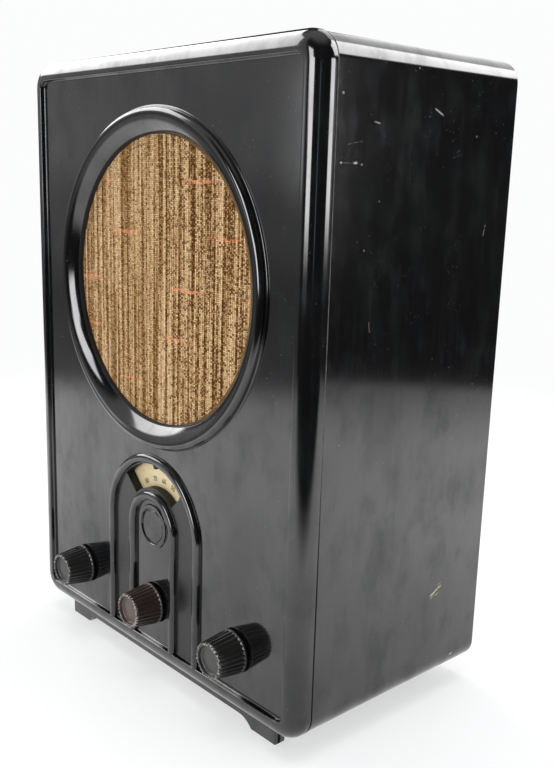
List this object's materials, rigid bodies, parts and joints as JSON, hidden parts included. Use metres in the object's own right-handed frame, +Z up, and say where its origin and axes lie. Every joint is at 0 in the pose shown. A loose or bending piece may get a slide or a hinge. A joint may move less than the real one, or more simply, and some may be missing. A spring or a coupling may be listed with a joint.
{
  "type": "tabletop radio",
  "caption": "Tall table radio in a moulded black cabinet with a round cloth grille, arched ribs round a dial window and fluted knobs.",
  "frame": {"origin": "middle of the set's footprint box on the surface it stands on", "axes": "+Z up, the front faces -Y, +X to the right as seen from the front"},
  "size_m": [0.28, 0.1826, 0.3975],
  "materials": {
    "phenolic_black": "polished moulded phenolic",
    "knob_black": "moulded phenolic, slightly worn",
    "knob_brown": "moulded dark brown-red phenolic",
    "grille_cloth": "coarse woven cloth",
    "plywood": "bare plywood",
    "fibreboard": "pressed fibreboard",
    "plated_steel": "zinc plated",
    "painted_steel": "grey lacquer",
    "aluminium": "rolled sheet",
    "brass": "turned brass",
    "copper_wire": "enamelled copper wire",
    "dial": "cream celluloid with printed scale",
    "laminate": "resin-bonded paper board",
    "core_iron": "stacked laminations, varnished",
    "winding": "varnished paper over wire",
    "cone_paper": "dark pressed paper",
    "magnet_steel": "red lacquer",
    "tin": "tinned sheet, filled",
    "wax_paper": "waxed paper tube",
    "resistor_body": "lacquered ceramic",
    "porcelain": "glazed",
    "bulb_glass": "clear glass",
    "electrode_nickel": "blackened nickel",
    "rubber": "moulded rubber"
  },
  "bodies": {
    "cabinet": {"cabinet": "phenolic_black", "grille_cloth": "grille_cloth", "baffle_board": "plywood", "baffle_screws": "plated_steel", "shaft_bushes": "brass", "condenser_frame": "aluminium", "condenser_stator": "aluminium", "stator_insulators": "laminate", "coil_former": "laminate", "coil_winding": "copper_wire", "reaction_stator": "laminate", "speaker_basket": "painted_steel", "speaker_cone": "cone_paper", "speaker_bridge": "painted_steel", "speaker_magnet": "magnet_steel", "speaker_coil": "laminate", "speaker_rod": "plated_steel", "chassis": "plated_steel", "chassis_screws": "plated_steel", "valve_sockets": "laminate", "valve_electrodes": "electrode_nickel", "detector_base": "knob_black", "detector_bulb": "bulb_glass", "output_base": "knob_black", "output_bulb": "bulb_glass", "rectifier_base": "knob_black", "rectifier_bulb": "bulb_glass", "mains_core": "core_iron", "mains_coil": "winding", "coupling_core": "core_iron", "coupling_winding": "winding", "filter_capacitor": "tin", "tag_board": "laminate", "resistors": "resistor_body", "paper_capacitors": "wax_paper", "fuse_holder": "porcelain", "fuse": "bulb_glass", "switch_body": "knob_black", "switch_bush": "plated_steel", "socket_strip": "laminate", "aerial_sockets": "brass", "cord_grommet": "rubber", "back_cover": "fibreboard", "back_screws": "plated_steel"},
    "dial": {"dial_disc": "dial", "dial_hub": "brass", "condenser_rotor": "aluminium"},
    "tuning_drive": {"tuning_knob": "knob_brown", "tuning_grub_screw": "plated_steel", "tuning_shaft": "plated_steel"},
    "coupling_control": {"coupling_knob": "knob_black", "coupling_grub_screw": "plated_steel", "coupling_shaft": "plated_steel", "swivel_coil": "laminate"},
    "reaction_control": {"reaction_knob": "knob_black", "reaction_grub_screw": "plated_steel", "reaction_rotor": "plated_steel"},
    "switch_lever": {"switch_lever": "plated_steel"}
  },
  "joints": [
    {"name": "dial_turn", "type": "hinge", "parent": "cabinet", "child": "dial", "pos_m": [0, -0.05075, 0.1027], "axis": [0, -1, 0], "range_deg": [-67.1, 112.8]},
    {"name": "tuning_turn", "type": "hinge", "parent": "cabinet", "child": "tuning_drive", "pos_m": [0, -0.06575, 0.0511], "axis": [0, -1, 0], "range_deg": [-1101, 655]},
    {"name": "coupling_turn", "type": "hinge", "parent": "cabinet", "child": "coupling_control", "pos_m": [-0.0834, -0.06575, 0.0511], "axis": [0, -1, 0], "range_deg": [-45, 45]},
    {"name": "reaction_turn", "type": "hinge", "parent": "cabinet", "child": "reaction_control", "pos_m": [0.0834, -0.06575, 0.0511], "axis": [0, -1, 0], "range_deg": [-90, 90]},
    {"name": "switch_tip", "type": "hinge", "parent": "cabinet", "child": "switch_lever", "pos_m": [0.06, 0.07425, 0.0505], "axis": [1, 0, 0], "range_deg": [0, 24]}
  ],
  "couplings": [
    {"joint": "tuning_turn", "follows": "dial_turn", "ratio": -9.75}
  ]
}
